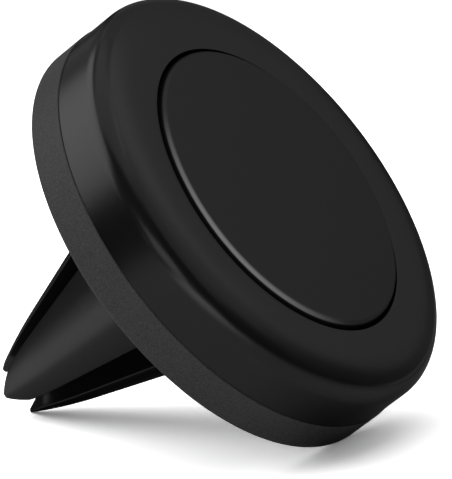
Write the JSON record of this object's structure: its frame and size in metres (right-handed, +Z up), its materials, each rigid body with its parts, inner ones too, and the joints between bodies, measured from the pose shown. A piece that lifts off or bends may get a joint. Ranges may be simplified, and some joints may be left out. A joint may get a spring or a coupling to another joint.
{
  "type": "car phone mount",
  "caption": "Round magnetic phone mount: a shallow black disc head on a tapered, slotted prong clip that springs open to grip an air-vent blade.",
  "frame": {"origin": "on the table, under the middle of the box of the part as it lies on the back edge of its head and the tip of its lower prong", "axes": "+Z up; the face looks along -Y and upwards; +X to the right as one looks at the face; the part is mirror-symmetric about X = 0"},
  "size_m": [0.0402, 0.0384, 0.0364],
  "materials": {
    "housing_plastic": "fine grained moulded plastic, charcoal black",
    "soft_cover": "smooth satin soft-touch skin, black",
    "disc_rubber": "smooth matt rubber, black",
    "adhesive": "thin double-sided tape",
    "carrier_plastic": "plain moulded plastic",
    "yoke_steel": "zinc plated sheet steel",
    "magnet_plating": "bright nickel plating",
    "screw_steel": "zinc plated",
    "spine_plastic": "stiff moulded plastic",
    "clip_rubber": "smooth satin rubber, black"
  },
  "bodies": {
    "head": {"rear_housing": "housing_plastic", "front_cover": "soft_cover", "centre_disc": "disc_rubber", "disc_adhesive": "adhesive", "magnet_carrier": "carrier_plastic", "steel_yoke": "yoke_steel", "magnet_1": "magnet_plating", "magnet_2": "magnet_plating", "magnet_3": "magnet_plating", "magnet_4": "magnet_plating", "magnet_5": "magnet_plating", "magnet_6": "magnet_plating", "clip_collar": "clip_rubber", "clip_screw": "screw_steel", "clip_washer": "screw_steel"},
    "prong_lower": {"spine_lower": "spine_plastic", "grip_lower": "clip_rubber"},
    "prong_right": {"spine_right": "spine_plastic", "grip_right": "clip_rubber"},
    "prong_upper": {"spine_upper": "spine_plastic", "grip_upper": "clip_rubber"},
    "prong_left": {"spine_left": "spine_plastic", "grip_left": "clip_rubber"}
  },
  "joints": [
    {"name": "flex_lower", "type": "hinge", "parent": "head", "child": "prong_lower", "pos_m": [0, -0.00337, 0.0097], "axis": [-1, 0, 0], "range_deg": [-2, 5], "stiffness_Nm_per_rad": 1},
    {"name": "flex_right", "type": "hinge", "parent": "head", "child": "prong_right", "pos_m": [0.00632, 0.0004, 0.01478], "axis": [0, -0.5953, -0.8035], "range_deg": [-2, 5], "stiffness_Nm_per_rad": 1},
    {"name": "flex_upper", "type": "hinge", "parent": "head", "child": "prong_upper", "pos_m": [0, 0.00416, 0.01986], "axis": [1, 0, 0], "range_deg": [-2, 5], "stiffness_Nm_per_rad": 1},
    {"name": "flex_left", "type": "hinge", "parent": "head", "child": "prong_left", "pos_m": [-0.00632, 0.0004, 0.01478], "axis": [0, 0.5953, 0.8035], "range_deg": [-2, 5], "stiffness_Nm_per_rad": 1}
  ]
}
